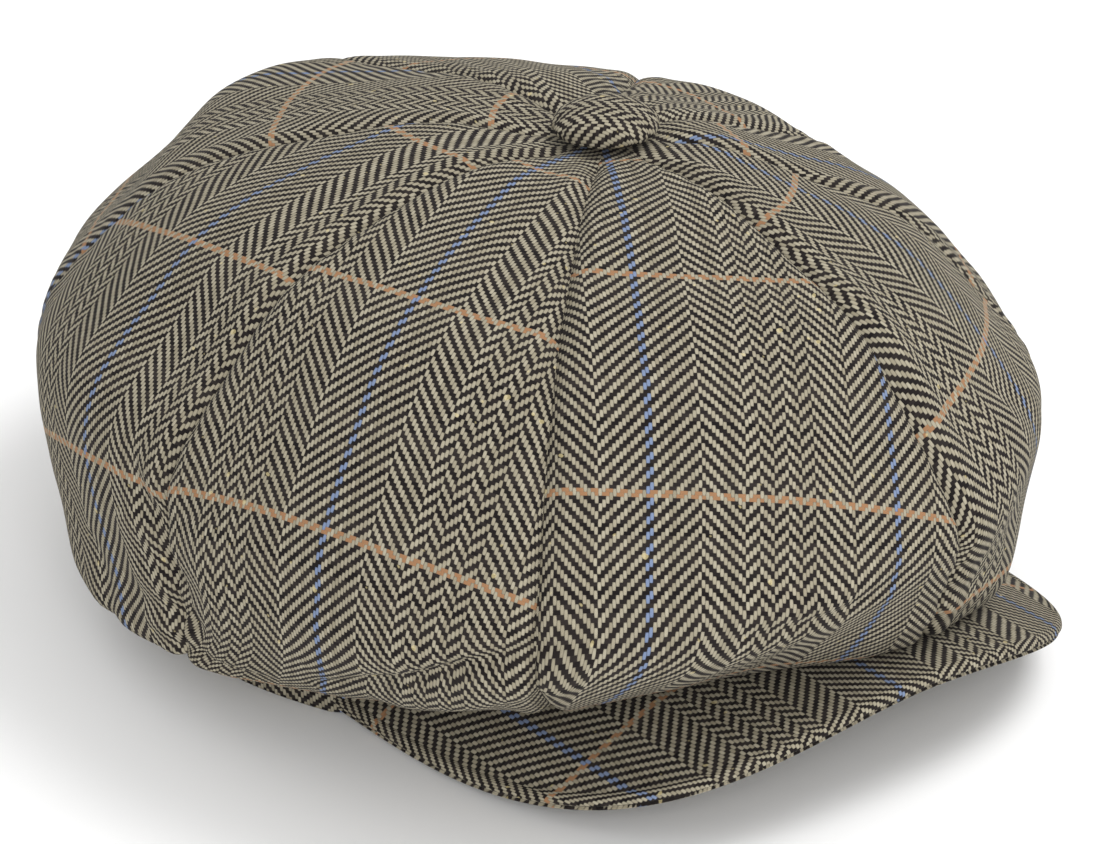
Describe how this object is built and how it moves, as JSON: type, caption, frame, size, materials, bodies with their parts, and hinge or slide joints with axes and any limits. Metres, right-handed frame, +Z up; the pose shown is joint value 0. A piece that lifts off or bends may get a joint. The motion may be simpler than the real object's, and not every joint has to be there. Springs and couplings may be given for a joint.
{
  "type": "newsboy cap",
  "caption": "Soft full-crowned newsboy cap in herringbone tweed, with seamed gores, a covered button, a headband and a stiffened arched brim.",
  "frame": {"origin": "middle of the head opening, on the plane that the cap rests on", "axes": "+Z up through the crown; the brim and the front of the cap face -Y, the back faces +Y, and the wearer's left is +X"},
  "size_m": [0.2373, 0.2879, 0.1312],
  "materials": {
    "crown_tweed": "matte wool herringbone tweed in cream and near-black with blue and tan overchecks",
    "lining_satin": "dark satin lining with a soft sheen",
    "sweatband_twill": "dark ribbed cotton band",
    "interlining": "stiff woven hat tape, hidden",
    "brim_board": "flexible brim board, hidden",
    "button_metal": "thin pressed metal, hidden",
    "thread": "brown sewing thread"
  },
  "bodies": {
    "root": {"crown_panel_front_left": "crown_tweed", "crown_panel_left_front": "crown_tweed", "crown_panel_left_back": "crown_tweed", "crown_panel_back_left": "crown_tweed", "crown_panel_back_right": "crown_tweed", "crown_panel_right_back": "crown_tweed", "crown_panel_right_front": "crown_tweed", "crown_panel_front_right": "crown_tweed", "lining_panel_front_left": "lining_satin", "lining_panel_left_front": "lining_satin", "lining_panel_left_back": "lining_satin", "lining_panel_back_left": "lining_satin", "lining_panel_back_right": "lining_satin", "lining_panel_right_back": "lining_satin", "lining_panel_right_front": "lining_satin", "lining_panel_front_right": "lining_satin", "outer_band": "crown_tweed", "band_interlining": "interlining", "sweatband": "sweatband_twill", "brim_top_cover": "crown_tweed", "brim_under_cover": "crown_tweed", "brim_board": "brim_board", "button_cover": "crown_tweed", "button_shell": "button_metal", "button_back": "button_metal", "button_thread": "thread"}
  },
  "joints": []
}
